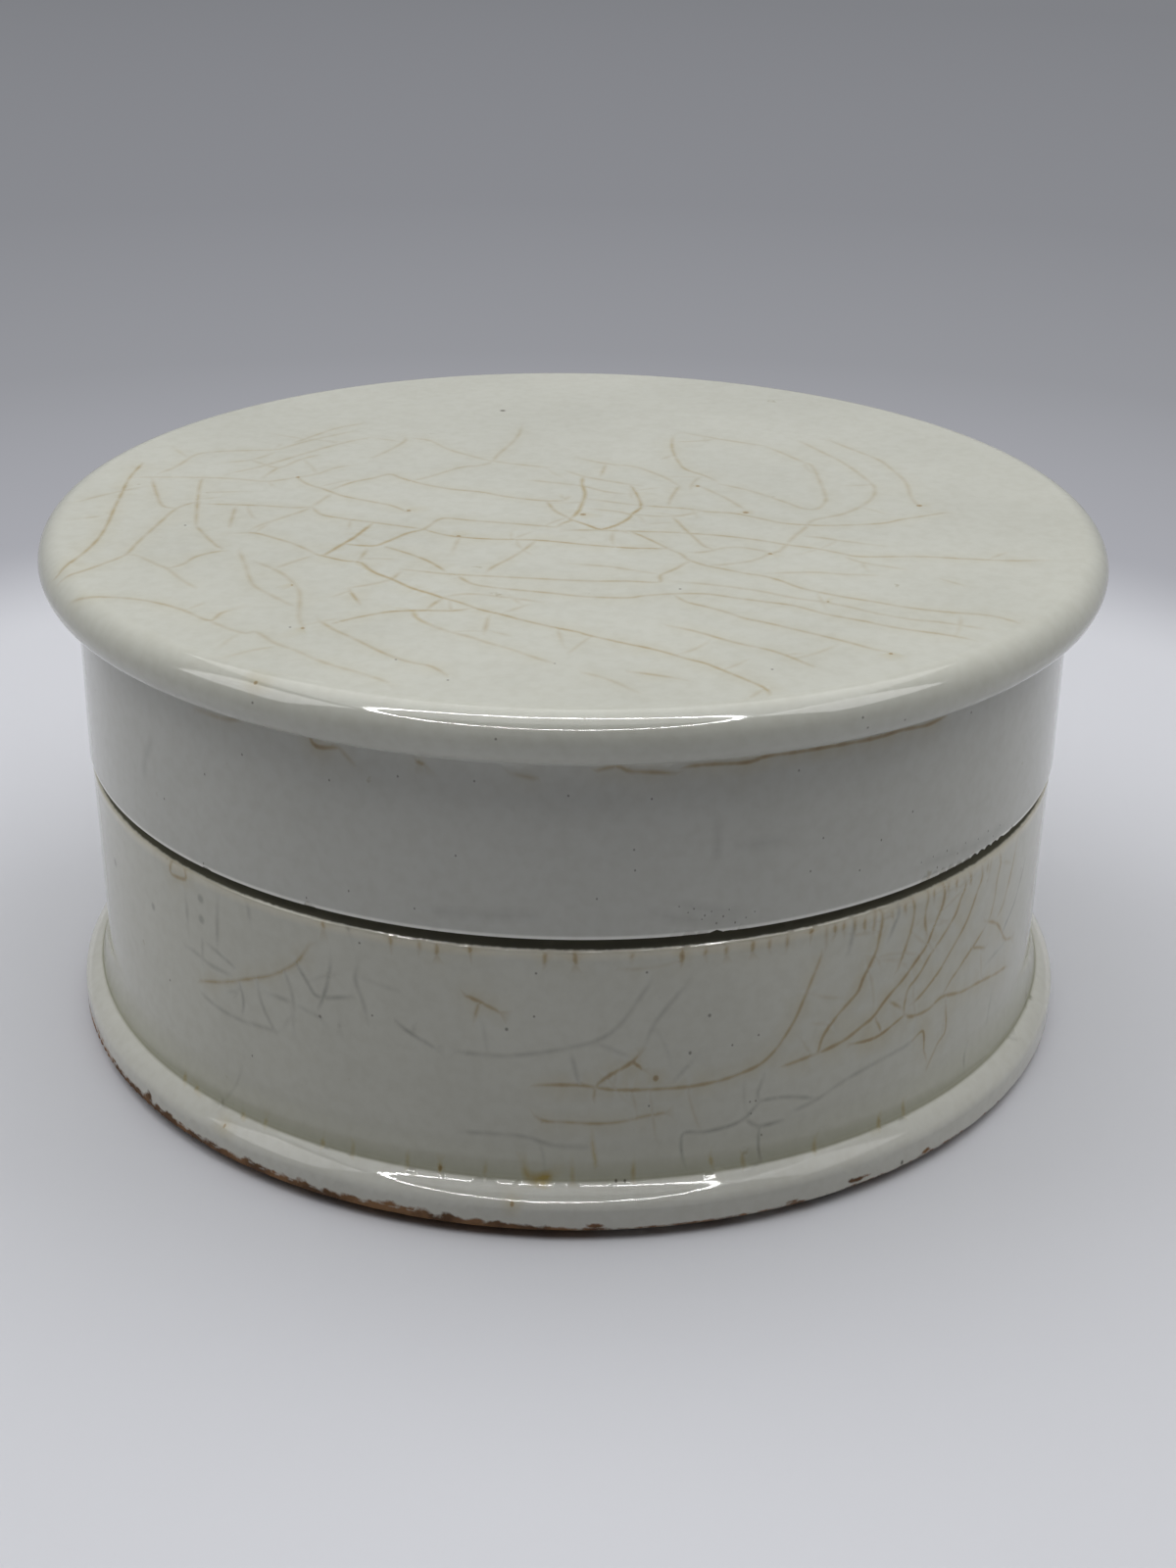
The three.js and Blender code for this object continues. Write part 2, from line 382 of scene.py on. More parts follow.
# Crazing that the photograph doesn't show: short side cracks, and lines carried round to the back
SEED = 7
LID_SHOOTS = 60
POT_SHOOTS = 40
SHOOT_LEAST = 1.5 * MM
SHOOT_MOST = 6 * MM
SHOOT_DEGREES = (50, 100)
BEND_DEGREES = 4
SHOOT_SHARE = 0.6
SHOOT_SOURCE_MOST = 0.2
BACK_TURN = math.radians(24)
BACK_SHARE = 0.7

Craze = namedtuple("Craze", "path width tone depth")
Spot = namedtuple("Spot", "place radius tone depth")
Sample = namedtuple("Sample", "place core reach tone depth")


def softened(before, here, after):
    """The arc that softens a corner, as points of the profile with the way that each one faces."""
    *spot, rounding = here
    point = Vector(spot)
    inward, outward = Vector(before[:2]) - point, Vector(after[:2]) - point
    half_angle = inward.angle(outward) / 2
    reach = rounding / math.tan(half_angle)
    middle = inward.normalized() + outward.normalized()
    centre = point + middle.normalized() * rounding / math.sin(half_angle)
    first = point + inward.normalized() * reach - centre
    last = point + outward.normalized() * reach - centre
    sweep = first.angle_signed(last)
    steps = max(2, math.ceil(abs(sweep) / ARC_STEP))
    bulge = 1 if sweep > 0 else -1
    spokes = [Matrix.Rotation(-sweep * i / steps, 2) @ first for i in range(steps + 1)]
    return [(centre + spoke, bulge * spoke.normalized()) for spoke in spokes]


def turned_profile(corners):
    """Points and facings of a profile, a list of them for each corner, with straight stretches divided.

    A corner is a radius, a height and a round. The two ends, on the axis, have no round.
    """
    stretches = []
    for i, here in enumerate(corners):
        if len(here) == 3:
            stretches.append(softened(corners[i - 1], here, corners[i + 1]))
        else:
            facing = Vector((0, 1 if i == 0 else -1))
            stretches.append([(Vector(here), facing)])
    for stretch, following in zip(stretches, stretches[1:]):
        start, facing = stretch[-1]
        way = following[0][0] - start
        steps = math.ceil(way.length / STRAIGHT_STEP)
        stretch.extend((start + way * i / steps, facing) for i in range(1, steps))
    return stretches


def joined(stretches):
    """One run of points and facings, without the points that two arcs share."""
    run = [pair for stretch in stretches for pair in stretch]
    kept = [run[0]]
    for pair in run[1:]:
        if (pair[0] - kept[-1][0]).length > SAME_POINT:
            kept.append(pair)
    return kept


def turned_parts(*parts):
    """The runs of points and facings of a profile whose corners come in parts that follow one another."""
    stretches = iter(turned_profile([corner for part in parts for corner in part]))
    return [joined([next(stretches) for _ in part]) for part in parts]


class Skin:
    """A turned surface unrolled flat: distance along its profile runs outwards from the sheet's middle."""

    def __init__(self, run, hole):
        self.points = np.array([point for point, _ in run])
        steps = np.linalg.norm(np.diff(self.points, axis=0), axis=1)
        self.out = hole + np.concatenate([[0], np.cumsum(steps)])

    def holds(self, flat):
        """Whether a flat point lies on the sheet, off its edges."""
        return self.out[0] + SAME_POINT < flat.length < self.out[-1] - SAME_POINT

    def shaped(self, flat):
        """Flat points put back on the turned surface."""
        out = np.linalg.norm(flat, axis=1)
        turn = np.arctan2(flat[:, 1], flat[:, 0])
        radius = np.interp(out, self.out, self.points[:, 0])
        height = np.interp(out, self.out, self.points[:, 1])
        return np.column_stack((radius * np.cos(turn), radius * np.sin(turn), height))

    def unrolled(self, place):
        """The flat point of a place on the turned surface."""
        spot = np.array((math.hypot(place.x, place.y), place.z))
        start, way = self.points[:-1], np.diff(self.points, axis=0)
        share = np.clip(np.sum((spot - start) * way, axis=1) / np.sum(way * way, axis=1), 0, 1)
        miss = np.linalg.norm(start + way * share[:, None] - spot, axis=1)
        i = int(np.argmin(miss))
        out = self.out[i] + share[i] * (self.out[i + 1] - self.out[i])
        turn = math.atan2(place.y, place.x)
        return Vector((out * math.cos(turn), out * math.sin(turn)))


def seen_place(node, pixel):
    """Where the sight line through a photograph's pixel meets a solid, and the metres per pixel there."""
    across = (pixel[0] - PHOTO_WIDTH / 2) / PIXELS_PER_LENS
    upward = (PHOTO_HEIGHT / 2 - pixel[1]) / PIXELS_PER_LENS
    sight = CAMERA_TURN @ Vector((across, upward, -1))
    found, place, _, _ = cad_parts[node].ray_cast(CAMERA_PLACE, sight)
    depth = (place - CAMERA_PLACE).length / sight.length
    return (place if found else None), depth / PIXELS_PER_LENS


def numbers(text):
    """The numbers of a text such as 12,34."""
    return [float(number) for number in text.split(",")]


def smooth_path(knots, step):
    """A smooth curve through flat points, divided into equal steps."""
    ends = [2 * knots[0] - knots[1], *knots, 2 * knots[-1] - knots[-2]]
    dense = []
    for before, start, end, after in zip(ends, ends[1:], ends[2:], ends[3:]):
        pieces = max(2, math.ceil((end - start).length / step))
        for i in range(pieces):
            t = i / pieces
            dense.append(0.5 * (
                2 * start + (end - before) * t
                + (2 * before - 5 * start + 4 * end - after) * t ** 2
                + (3 * start - before - 3 * end + after) * t ** 3
            ))
    return dense + [knots[-1]]


def read_crazes(skin, node, routes_by_kind):
    """Craze lines laid on a skin along their routes."""
    crazes = []
    for kind, routes in routes_by_kind.items():
        for route in routes:
            places = [seen_place(node, numbers(pixel))[0] for pixel in route.split()]
            knots = [skin.unrolled(place) for place in places if place]
            if len(knots) > 1:
                crazes.append(Craze(smooth_path(knots, CRAZE_STEP), *CRAZE_KINDS[kind]))
    return crazes


def read_spots(skin, node, spots_by_kind):
    """Spots laid on a skin where the photograph shows them."""
    spots = []
    for kind, texts in spots_by_kind.items():
        for x, y, radius in map(numbers, texts):
            place, metres_per_pixel = seen_place(node, (x, y))
            if place:
                spots.append(Spot(skin.unrolled(place), radius * metres_per_pixel, *SPOT_KINDS[kind]))
    return spots


def side_shoots(skin, crazes, count, chance):
    """Short pale cracks that leave the longer ones at a steep angle, as crazing does."""
    shoots = []
    for craze in chance.choices(crazes, weights=[len(craze.path) for craze in crazes], k=count):
        i = chance.randrange(1, len(craze.path) - 1)
        way = (craze.path[i + 1] - craze.path[i - 1]).normalized()
        side = chance.choice((-1, 1))
        way.rotate(Matrix.Rotation(side * math.radians(chance.uniform(*SHOOT_DEGREES)), 2))
        bend = Matrix.Rotation(math.radians(chance.uniform(-BEND_DEGREES, BEND_DEGREES)), 2)
        path = [craze.path[i]]
        for _ in range(round(chance.uniform(SHOOT_LEAST, SHOOT_MOST) / CRAZE_STEP)):
            path.append(path[-1] + way * CRAZE_STEP)
            way = bend @ way
        if all(skin.holds(spot) for spot in path):
            depth = SHOOT_SHARE * min(craze.depth, SHOOT_SOURCE_MOST)
            shoots.append(Craze(path, craze.width, craze.tone, depth))
    return shoots


def carried_round(crazes, chance):
    """Crazing for the side away from the camera: some of the lines, mirrored and turned about the axis."""
    turn = Matrix.Rotation(BACK_TURN, 2)
    return [
        craze._replace(path=[turn @ Vector((spot.x, -spot.y)) for spot in craze.path])
        for craze in crazes if chance.random() < BACK_SHARE
    ]


def wavering(craze, chance):
    """How deep a line is stained at each point of its path: unevenly, and fading at both ends."""
    phases = [chance.uniform(0, 2 * math.pi) for _ in range(2)]
    taper = min(END_TAPER, END_SHARE * len(craze.path) * CRAZE_STEP)
    depths = []
    for i in range(len(craze.path)):
        along = i * CRAZE_STEP / WAVER_LENGTH
        wave = math.sin(along + phases[0]) + math.sin(QUICKER_WAVE * along + phases[1])
        from_end = min(i, len(craze.path) - 1 - i) * CRAZE_STEP
        fade = min(1, END_DEPTH + (1 - END_DEPTH) * from_end / taper)
        knot = chance.uniform(-KNOTS, KNOTS)
        depths.append(craze.depth * fade * (1 + WAVER * wave / 2 + knot))
    return depths


def flat_rings(skin):
    """Points of the flat sheet on rings, and the bonds that hold its outer and inner edge."""
    points, bonds = [], []
    widest = skin.points[:, 0].max()
    last = len(skin.out) - 1
    for i, out in enumerate(skin.out):
        radius = skin.points[i, 0]
        fewer = max(1, round(TURN_SEGMENTS * radius / widest))
        count = fewer if radius < THINNED_SHARE * widest else TURN_SEGMENTS
        first = len(points)
        for k in range(count):
            turn = 2 * math.pi * k / count
            points.append(Vector((out * math.cos(turn), out * math.sin(turn))))
        if count > 1 and i in (0, last):
            bonds += [(first + k, first + (k + 1) % count) for k in range(count)]
    return points, bonds


def crazed_sheet(name, skin, crazes, spots):
    """The skin as a mesh whose edges follow the crazing, with all its stains kept on its points."""
    points, bonds = flat_rings(skin)
    for craze in crazes:
        path = craze.path
        first = len(points)
        points += path
        bonds += [(i, i + 1) for i in range(first, len(points) - 1)]
        for i, place in enumerate(path):
            way = path[min(i + 1, len(path) - 1)] - path[max(i - 1, 0)]
            side = Vector((-way.y, way.x)).normalized() * craze.width
            points += [edge for edge in (place + side, place - side) if skin.holds(edge)]
    for spot in spots:
        points.append(spot.place)
        for k in range(SPOT_SIDES):
            spoke = Matrix.Rotation(2 * math.pi * k / SPOT_SIDES, 2) @ Vector((spot.radius, 0))
            edges = (spot.place + SPOT_CORE * spoke, spot.place + spoke)
            points += [edge for edge in edges if skin.holds(edge)]
    flat, _, faces, *_ = geometry.delaunay_2d_cdt(points, bonds, [], 0, SAME_POINT, False)
    if skin.points[0, 0] > 0:
        inner_edge = skin.out[0] + SAME_POINT
        faces = [face for face in faces if max(flat[i].length for i in face) > inner_edge]
    mesh = bpy.data.meshes.new(name)
    mesh.from_pydata(skin.shaped(np.array(flat)).tolist(), [], faces)
    for tone, values in stains(flat, crazes, spots).items():
        mesh.attributes.new(tone, "FLOAT", "POINT").data.foreach_set("value", values)
    sheet = bpy.data.objects.new(name, mesh)
    bpy.context.collection.objects.link(sheet)
    return sheet


def stains(flat, crazes, spots):
    """How far each flat point is stained, for each tone, and by the halo beside the crazing."""
    chance = random.Random(SEED)
    samples = [
        Sample(place, 0, craze.width, craze.tone, depth)
        for craze in crazes for place, depth in zip(craze.path, wavering(craze, chance))
    ]
    samples += [
        Sample(spot.place, SPOT_CORE * spot.radius, spot.radius, spot.tone, spot.depth) for spot in spots
    ]
    tree = kdtree.KDTree(len(samples))
    for i, sample in enumerate(samples):
        tree.insert(sample.place.to_3d(), i)
    tree.balance()
    widest = max(sample.reach for sample in samples)
    values = {tone: np.zeros(len(flat)) for tone in (*TONES, "halo")}
    for k, point in enumerate(flat):
        for _, i, miss in tree.find_range(point.to_3d(), widest):
            sample = samples[i]
            share = (sample.reach - miss) / (sample.reach - sample.core)
            stain = sample.depth * min(1, max(0, share))
            values[sample.tone][k] = max(values[sample.tone][k], stain)
        _, i, miss = tree.find(point.to_3d())
        if samples[i].tone == "tan_stain":
            values["halo"][k] = samples[i].depth * max(0, 1 - miss / HALO_REACH)
    return values


def deselect_all():
    bpy.ops.object.select_all(action="DESELECT")


def pulled_rings(name, run):
    """A surface pulled ring by ring from the first point of a run, and closed on the axis at its last."""
    deselect_all()
    radius, height = run[0][0]
    bpy.ops.mesh.primitive_circle_add(vertices=TURN_SEGMENTS, radius=radius, location=(0, 0, height))
    surface = bpy.context.object
    surface.name = name
    bpy.ops.object.transform_apply(location=True)
    bpy.ops.object.mode_set(mode="EDIT")
    bpy.ops.mesh.select_all(action="SELECT")
    for point, _ in run[1:-1]:
        bpy.ops.mesh.extrude_region_move(TRANSFORM_OT_translate={"value": (0, 0, point.y - height)})
        bpy.ops.transform.resize(value=(point.x / radius, point.x / radius, 1))
        radius, height = point
    rise = run[-1][0].y - height
    bpy.ops.mesh.extrude_region_move(TRANSFORM_OT_translate={"value": (0, 0, rise)})
    bpy.ops.mesh.merge(type="CENTER")
    bpy.ops.object.mode_set(mode="OBJECT")
    return surface


def facings_at(mesh, run):
    """The exact way that each point of a turned mesh faces, from its profile."""
    places = np.empty(len(mesh.vertices) * 3)
    mesh.vertices.foreach_get("co", places)
    places = places.reshape(-1, 3)
    turn = np.arctan2(places[:, 1], places[:, 0])
    spots = np.column_stack((np.hypot(places[:, 0], places[:, 1]), places[:, 2]))
    nearest = np.full(len(spots), np.inf)
    facing = np.zeros_like(spots)
    for (start, start_facing), (end, end_facing) in zip(run, run[1:]):
        way = np.array(end - start)
        share = np.clip((spots - np.array(start)) @ way / (way @ way), 0, 1)[:, None]
        miss = np.linalg.norm(np.array(start) + share * way - spots, axis=1)
        closer = miss < nearest
        nearest[closer] = miss[closer]
        blend = np.array(start_facing) * (1 - share) + np.array(end_facing) * share
        facing[closer] = blend[closer]
    facing /= np.linalg.norm(facing, axis=1)[:, None]
    return np.column_stack((facing[:, 0] * np.cos(turn), facing[:, 0] * np.sin(turn), facing[:, 1]))


def closed_piece(sheet, others, run):
    """Joins a crazed sheet to the rest of its piece as one closed mesh that faces out."""
    deselect_all()
    for part in (sheet, *others):
        part.select_set(True)
    bpy.context.view_layer.objects.active = sheet
    bpy.ops.object.join()
    bpy.ops.object.mode_set(mode="EDIT")
    bpy.ops.mesh.select_all(action="SELECT")
    bpy.ops.mesh.remove_doubles(threshold=SAME_POINT)
    bpy.ops.mesh.normals_make_consistent(inside=False)
    bpy.ops.object.mode_set(mode="OBJECT")
    bpy.ops.object.shade_smooth()
    sheet.data.normals_split_custom_set_from_vertices(facings_at(sheet.data, run).tolist())
    return sheet


def on_wall(skin, craze):
    """Whether a line lies on the upright part of a skin."""
    heights = skin.shaped(np.array(craze.path))[:, 2]
    return heights.max() < TOP_HEIGHT - BEAD_ROUND


def make_lid():
    """The lid: flat top, full-round bead, skirt, and the hollow underneath."""
    skirt_inner = SKIRT_RADIUS - SKIRT_WALL
    ceiling = TOP_HEIGHT - LID_TOP_WALL
    under_bead = TOP_HEIGHT - 2 * BEAD_ROUND
    outside, hollow = turned_parts([
        (0, TOP_HEIGHT),
        (BEAD_RADIUS, TOP_HEIGHT, BEAD_ROUND),
        (BEAD_RADIUS, under_bead, BEAD_ROUND),
        (SKIRT_RADIUS, under_bead, BEAD_FILLET),
        (SKIRT_RADIUS, SEAM_HEIGHT, SKIRT_LIP_ROUND),
    ], [
        (skirt_inner, SEAM_HEIGHT, SKIRT_LIP_ROUND),
        (skirt_inner, ceiling, LID_CEILING_COVE),
        (0, ceiling),
    ])
    skin = Skin(outside, 0)
    chance = random.Random(SEED)
    crazes = read_crazes(skin, "lid", LID_CRAZES)
    over_top = [craze for craze in crazes if not on_wall(skin, craze)]
    round_wall = [craze for craze in crazes if on_wall(skin, craze)]
    crazes += side_shoots(skin, over_top, LID_SHOOTS, chance) + carried_round(round_wall, chance)
    sheet = crazed_sheet("lid_glazed", skin, crazes, read_spots(skin, "lid", LID_SPOTS))
    inside = pulled_rings("lid_hollow", outside[-1:] + hollow)
    return closed_piece(sheet, [inside], outside + hollow)


def make_pot():
    """The pot: bowl and inner rim, shoulder, wall, rounded foot and the recess underneath."""
    bowl, outside, underside = turned_parts([
        (0, INSIDE_FLOOR),
        (RIM_INNER, INSIDE_FLOOR, INSIDE_COVE),
        (RIM_INNER, RIM_TOP, RIM_ROUND),
        (RIM_OUTER, RIM_TOP, RIM_ROUND),
        (RIM_OUTER, SEAM_HEIGHT, RIM_ROOT_FILLET),
    ], [
        (SEAT_RADIUS, SEAM_HEIGHT, SEAT_EDGE_ROUND),
        (SHOULDER_RADIUS, SHOULDER_HEIGHT, SHOULDER_EDGE_ROUND),
        (WAIST_RADIUS, FLARE_HEIGHT, FLARE_ROUND),
        (CREASE_RADIUS, CREASE_HEIGHT, CREASE_ROUND),
        (FOOT_TOP_RADIUS, FOOT_TOP_HEIGHT, FOOT_TOP_ROUND),
        (FOOT_RADIUS, FOOT_SIDE_HEIGHT, FOOT_SIDE_ROUND),
        (FOOT_RADIUS, FOOT_LIFT, FOOT_EDGE_ROUND),
    ], [
        (RING_RADIUS, 0, FOOT_EDGE_ROUND),
        (RECESS_RADIUS, 0, RECESS_ROUND),
        (RECESS_RADIUS, RECESS_DEPTH, RECESS_ROUND),
        (0, RECESS_DEPTH),
    ])
    skin = Skin(outside, SEAT_RADIUS)
    chance = random.Random(SEED)
    crazes = read_crazes(skin, "pot", POT_CRAZES)
    crazes += side_shoots(skin, crazes, POT_SHOOTS, chance) + read_crazes(skin, "pot", POT_WEAR)
    crazes += carried_round(crazes, chance)
    sheet = crazed_sheet("pot_glazed", skin, crazes, read_spots(skin, "pot", POT_SPOTS))
    inside = pulled_rings("pot_bowl", outside[:1] + bowl[::-1])
    base = pulled_rings("pot_base", outside[-1:] + underside)
    return closed_piece(sheet, [inside, base], bowl + outside + underside)


# Colours of the glaze, and what each stain leaves of its light, in linear values
LID_GLAZE = (0.69, 0.695, 0.62)
# Painted shade: the skirt's glaze is darker for the shade under the bead
SKIRT_SHADED_GLAZE = (0.6, 0.605, 0.56)
# Painted highlight: a near-white lip for the bright line of light along the lid's lower edge
LIP_PAINTED_HIGHLIGHT = (0.95, 0.95, 0.9)
POT_GLAZE = (0.64, 0.64, 0.565)
EDGE_GLAZE = (0.73, 0.705, 0.59)
# Darker olive glaze pooled towards the foot, deepened with painted shade in the flare and the crease
FLARE_POOL_AND_SHADE = (0.52, 0.52, 0.44)
CREASE_POOL_AND_SHADE = (0.4, 0.4, 0.315)
FOOT_GLAZE = (0.725, 0.725, 0.665)
TAN_MIDDLE, TAN_FULL = (0.805, 0.712, 0.57), (0.54, 0.385, 0.24)
TAN_MIDDLE_DEPTH = 0.35
GREY_FULL = (0.25, 0.235, 0.21)
OCHRE_FULL = (0.8, 0.62, 0.25)
HALO_FULL = (0.9, 0.83, 0.68)
IRON_DARK, IRON_RUST = (0.15, 0.088, 0.052), (0.3, 0.172, 0.092)
WHITE = (1, 1, 1)
CLOUD_TINT = (0.935, 0.935, 0.93)
GRAIN_TINT = (0.955, 0.95, 0.938)
SPECK_TINT = (0.8, 0.76, 0.68)

# The seam: painted shade on the bare bevel from the edge of the shoulder, then the pot's bare body up to
# the seat, and on the inner rim
BEVEL_PAINTED_SHADE, BARE_SEAT, BARE_RIM = (0.11, 0.105, 0.075), (0.4, 0.36, 0.29), (0.55, 0.49, 0.4)

# The pot's glaze by height as a share of the shoulder's, with darker pooled glaze and painted shade in the
# flare and crease, and its bare body, with painted shade on the bevel, by height over the shoulder
WALL_STOPS = (
    (0.1575, FOOT_GLAZE),
    (0.162, CREASE_POOL_AND_SHADE),
    (0.21, FLARE_POOL_AND_SHADE),
    (0.3, POT_GLAZE),
    (0.965, POT_GLAZE),
    (0.99, EDGE_GLAZE),
)
SEAM_RISE = 2.4 * MM
SEAM_BARE_AND_SHADE_STOPS = ((0.35, BEVEL_PAINTED_SHADE), (0.52, BARE_SEAT), (1, BARE_RIM))

# Roughness and gloss of the glaze, and of what is bare or matt
GLAZE_ROUGHNESS = (0.035, 0.075)
MATT_ROUGHNESS = 0.5
WALL_GLOSS, FOOT_GLOSS, MATT_GLOSS = 0.5, 0.26, 0.1

# Patterns in the glaze: cells per metre, fineness, and the values between which each one comes in
Pattern = namedtuple("Pattern", "scale detail start full")
CLOUDS = Pattern(55, 4, 0.35, 0.68)
GRAIN = Pattern(900, 2, 0.3, 0.62)
SPECKS = Pattern(420, 5, 0.73, 0.78)
RUST = Pattern(300, 3, 0.38, 0.54)
POLISH = Pattern(55, 2, 0.3, 0.7)

# Relief of the glaze: cells per metre, fineness, strength and depth
Relief = namedtuple("Relief", "scale detail strength depth")
RIPPLE = Relief(90, 1, 0.35, 0.12 * MM)
PEEL = Relief(700, 2, 0.6, 0.015 * MM)

# Heights over which the lid's painted shade on the skirt and painted highlight on the lip come in, and the
# pot's matt crease begins and ends
SKIRT_SHADE_BLEND = (TOP_HEIGHT - 2.2 * BEAD_ROUND, TOP_HEIGHT - BEAD_ROUND)
LIP_HIGHLIGHT_BLEND = (SEAM_HEIGHT + 0.22 * MM, SEAM_HEIGHT + 0.5 * MM)
CREASE_START = (CREASE_HEIGHT - 0.06 * MM, CREASE_HEIGHT - 0.03 * MM)
CREASE_END = (CREASE_HEIGHT + 0.2 * MM, CREASE_HEIGHT + 0.5 * MM)

# The bare seam: how ragged its lower edge is, and where it begins on the shoulder and on the inner rim
SEAM_RAG_SCALE, SEAM_RAG_DETAIL, SEAM_RAG = 1500, 2, 0.12 * MM
SEAM_BLEND = (SHOULDER_HEIGHT + 0.14 * MM, SHOULDER_HEIGHT + 0.3 * MM)
RIM_BLEND = (RIM_INNER, RIM_INNER + 0.8 * MM)

# The foot's worn edge: a ragged line, which is higher and deeper towards the left front
WORN_WAY = (-0.7 / FOOT_RADIUS, -0.7 / FOOT_RADIUS, 0)
WORN_LOW = FOOT_LIFT + 0.15 * MM
WORN_TOP_SIDES, WORN_TOPS = (0.62, 0.86), (FOOT_LIFT + 0.5 * MM, FOOT_LIFT + 1.5 * MM)
WORN_DEPTH_SIDES, WORN_DEPTHS = (0.55, 0.85), (0.62, 1.05)
WORN_RAG_SCALE, WORN_RAG_DETAIL, WORN_RAG = 900, 4, 1.6
WORN_BLEND = (0.35, 0.85)


def add_node(tree, kind, inputs=(), **settings):
    """A node with its settings, and its inputs by name: a socket is linked, a plain value is set."""
    node = tree.nodes.new(kind)
    for name, value in settings.items():
        setattr(node, name, value)
    for name, value in dict(inputs).items():
        if isinstance(value, bpy.types.NodeSocket):
            tree.links.new(value, node.inputs[name])
        else:
            node.inputs[name].default_value = value
    return node


def reckoned(tree, operation, *values):
    """The result of a Math node."""
    return add_node(tree, "ShaderNodeMath", enumerate(values), operation=operation).outputs[0]


def vector_reckoned(tree, operation, *vectors):
    """The outputs of a Vector Math node."""
    return add_node(tree, "ShaderNodeVectorMath", enumerate(vectors), operation=operation).outputs


def ranged(tree, value, low, high, to_low, to_high):
    """A value carried smoothly from one range to another."""
    node = add_node(tree, "ShaderNodeMapRange", {
        "Value": value, "From Min": low, "From Max": high, "To Min": to_low, "To Max": to_high,
    }, interpolation_type="SMOOTHSTEP")
    return node.outputs["Result"]


def noise(tree, place, scale, detail):
    """A noise pattern fixed to the piece."""
    node = add_node(tree, "ShaderNodeTexNoise", {"Vector": place, "Scale": scale, "Detail": detail})
    return node.outputs["Fac"]


def attribute(tree, name):
    """A value kept on the points of the mesh."""
    return add_node(tree, "ShaderNodeAttribute", attribute_name=name).outputs["Fac"]


def ramp(tree, value, *stops):
    """Colours along a value."""
    node = add_node(tree, "ShaderNodeValToRGB", {"Fac": value})
    elements = node.color_ramp.elements
    while len(elements) < len(stops):
        elements.new(0.5)
    for element, (position, colour) in zip(elements, stops):
        element.position = position
        element.color = (*colour, 1)
    return node.outputs["Color"]


def mixed(tree, factor, first, second, blend="MIX"):
    """One colour laid over another."""
    inputs = {"Factor": factor}
    for name, colour in (("A", first), ("B", second)):
        inputs[name] = colour if isinstance(colour, bpy.types.NodeSocket) else (*colour, 1)
    return add_node(tree, "ShaderNodeMix", inputs, data_type="RGBA", blend_type=blend).outputs["Result"]


def new_material(name):
    """A material with an empty node tree but for its shader."""
    material = bpy.data.materials.new(name)
    material.use_nodes = True
    return material, material.node_tree, material.node_tree.nodes["Principled BSDF"]


def seen_directly(tree):
    """1 for what is seen, straight or mirrored in the glaze, and 0 for light that is thrown on."""
    light_path = add_node(tree, "ShaderNodeLightPath").outputs
    return reckoned(tree, "ADD", light_path["Is Camera Ray"], light_path["Is Glossy Ray"])


def place_and_height(tree):
    """The place of a point on its piece, and the height alone."""
    place = add_node(tree, "ShaderNodeTexCoord").outputs["Object"]
    return place, add_node(tree, "ShaderNodeSeparateXYZ", {0: place}).outputs["Z"]


def patterned(tree, place, pattern, first, second):
    """A colour that changes from one to another with a pattern."""
    value = noise(tree, place, pattern.scale, pattern.detail)
    return ramp(tree, value, (pattern.start, first), (pattern.full, second))


def glaze_colour(tree, place, colour):
    """A colour clouded, grained and stained as the glaze is."""
    tan_stain = attribute(tree, "tan_stain")
    tan = ramp(tree, tan_stain, (0, WHITE), (TAN_MIDDLE_DEPTH, TAN_MIDDLE), (1, TAN_FULL))
    veils = (
        (1, patterned(tree, place, CLOUDS, WHITE, CLOUD_TINT)),
        (1, patterned(tree, place, GRAIN, GRAIN_TINT, WHITE)),
        (1, patterned(tree, place, SPECKS, WHITE, SPECK_TINT)),
        (attribute(tree, "halo"), HALO_FULL),
        (1, tan),
        (attribute(tree, "grey_stain"), GREY_FULL),
        (attribute(tree, "ochre_stain"), OCHRE_FULL),
    )
    for factor, veil in veils:
        colour = mixed(tree, factor, colour, veil, "MULTIPLY")
    return colour


def glaze_relief(tree, place):
    """The slow ripple of the thrown wall and, over it, the fine peel of the glaze."""
    inputs = {}
    for relief in (RIPPLE, PEEL):
        inputs["Height"] = noise(tree, place, relief.scale, relief.detail)
        inputs["Strength"] = relief.strength
        inputs["Distance"] = relief.depth
        inputs["Normal"] = add_node(tree, "ShaderNodeBump", inputs).outputs["Normal"]
    return inputs["Normal"]


def glaze_polish(tree, place):
    """The roughness of the glaze, which varies a little."""
    value = noise(tree, place, POLISH.scale, POLISH.detail)
    return ranged(tree, value, POLISH.start, POLISH.full, *GLAZE_ROUGHNESS)


def lid_finish():
    """The lid's glaze, with painted shade on the skirt under the bead and a painted highlight along the
    lip.
    """
    material, tree, shader = new_material("lid_glaze")
    place, height = place_and_height(tree)
    # Painted shade on the skirt under the bead, and a painted highlight on the lip
    skirt = ranged(tree, height, *SKIRT_SHADE_BLEND, 1, 0)
    lip = ranged(tree, height, *LIP_HIGHLIGHT_BLEND, 1, 0)
    colour = mixed(tree, lip, mixed(tree, skirt, LID_GLAZE, SKIRT_SHADED_GLAZE), LIP_PAINTED_HIGHLIGHT)
    tree.links.new(glaze_colour(tree, place, colour), shader.inputs["Base Color"])
    tree.links.new(glaze_relief(tree, place), shader.inputs["Normal"])
    tree.links.new(glaze_polish(tree, place), shader.inputs["Roughness"])
    return material


